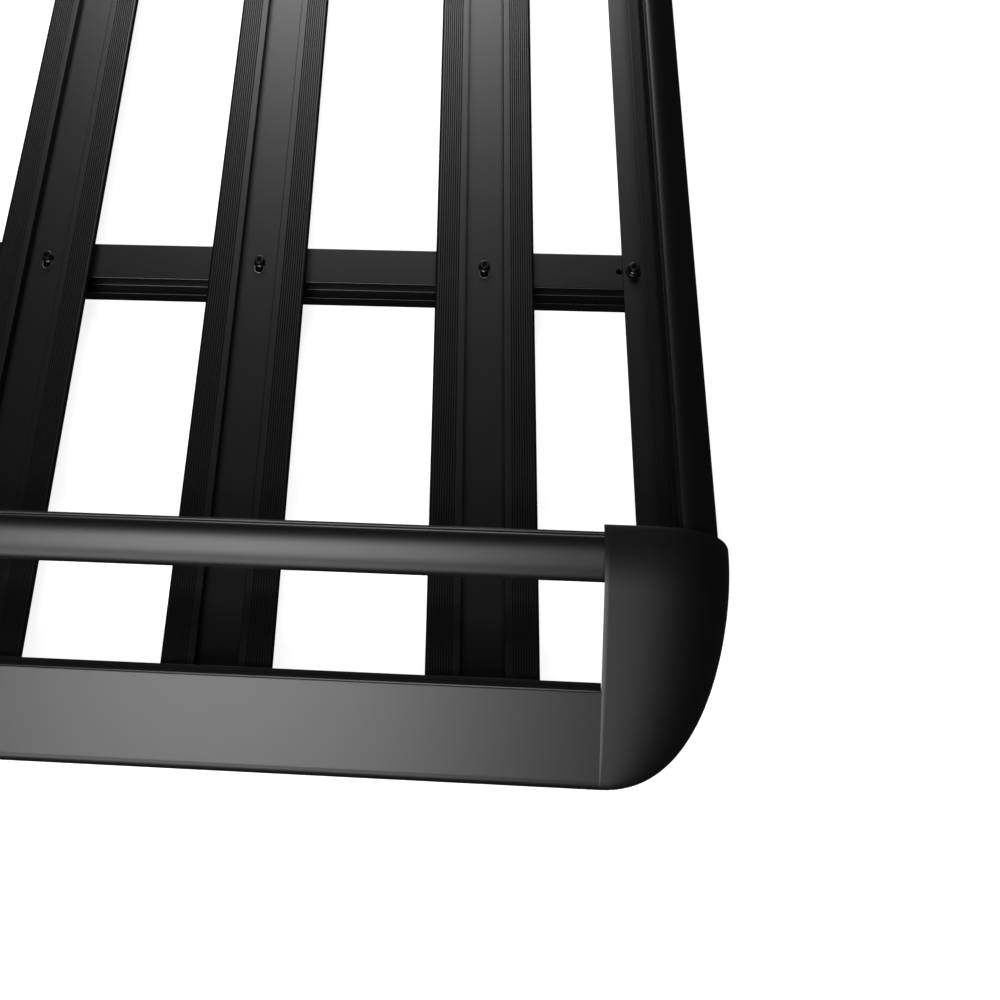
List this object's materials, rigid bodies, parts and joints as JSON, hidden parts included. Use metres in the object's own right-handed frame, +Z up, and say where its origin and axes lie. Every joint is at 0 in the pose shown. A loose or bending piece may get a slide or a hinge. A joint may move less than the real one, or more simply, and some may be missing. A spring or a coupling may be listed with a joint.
{
  "type": "roof cargo basket",
  "caption": "Flat roof tray of ribbed planks on cross members, inside a low frame of oval top rails, side rails, sloping end fairings and rounded corner covers.",
  "frame": {"origin": "under the middle of the rack, at the level of the cross members' flat undersides", "axes": "+Y runs from the front fairing to the rear one along the planks, +Z is up, +X is to the right of the rack"},
  "size_m": [1.026, 1.4, 0.0955],
  "materials": {
    "powder_coat": "satin",
    "cover_plastic": "satin",
    "cast_bracket": "matte",
    "fastener_steel": "satin"
  },
  "bodies": {
    "root": {"plank_1": "powder_coat", "plank_2": "powder_coat", "plank_3": "powder_coat", "plank_4": "powder_coat", "cross_member_front": "powder_coat", "cross_member_rear": "powder_coat", "side_rail_left": "powder_coat", "side_rail_right": "powder_coat", "top_rail_left": "powder_coat", "top_rail_right": "powder_coat", "top_rail_front": "powder_coat", "top_rail_rear": "powder_coat", "fascia_front": "powder_coat", "fascia_rear": "powder_coat", "corner_cover_front_left": "cover_plastic", "corner_cover_front_right": "cover_plastic", "corner_cover_rear_left": "cover_plastic", "corner_cover_rear_right": "cover_plastic", "corner_bracket_front_left": "cast_bracket", "corner_bracket_front_right": "cast_bracket", "corner_bracket_rear_left": "cast_bracket", "corner_bracket_rear_right": "cast_bracket", "rail_post_front_left": "cover_plastic", "rail_post_front_right": "cover_plastic", "rail_post_rear_left": "cover_plastic", "rail_post_rear_right": "cover_plastic", "plank_screw_front_1": "fastener_steel", "plank_nut_front_1": "fastener_steel", "plank_screw_front_2": "fastener_steel", "plank_nut_front_2": "fastener_steel", "plank_screw_front_3": "fastener_steel", "plank_nut_front_3": "fastener_steel", "plank_screw_front_4": "fastener_steel", "plank_nut_front_4": "fastener_steel", "plank_screw_rear_1": "fastener_steel", "plank_nut_rear_1": "fastener_steel", "plank_screw_rear_2": "fastener_steel", "plank_nut_rear_2": "fastener_steel", "plank_screw_rear_3": "fastener_steel", "plank_nut_rear_3": "fastener_steel", "plank_screw_rear_4": "fastener_steel", "plank_nut_rear_4": "fastener_steel", "rail_washer_front_left": "fastener_steel", "rail_screw_front_left": "fastener_steel", "rail_nut_front_left": "fastener_steel", "rail_washer_front_right": "fastener_steel", "rail_screw_front_right": "fastener_steel", "rail_nut_front_right": "fastener_steel", "rail_washer_rear_left": "fastener_steel", "rail_screw_rear_left": "fastener_steel", "rail_nut_rear_left": "fastener_steel", "rail_washer_rear_right": "fastener_steel", "rail_screw_rear_right": "fastener_steel", "rail_nut_rear_right": "fastener_steel"}
  },
  "joints": []
}
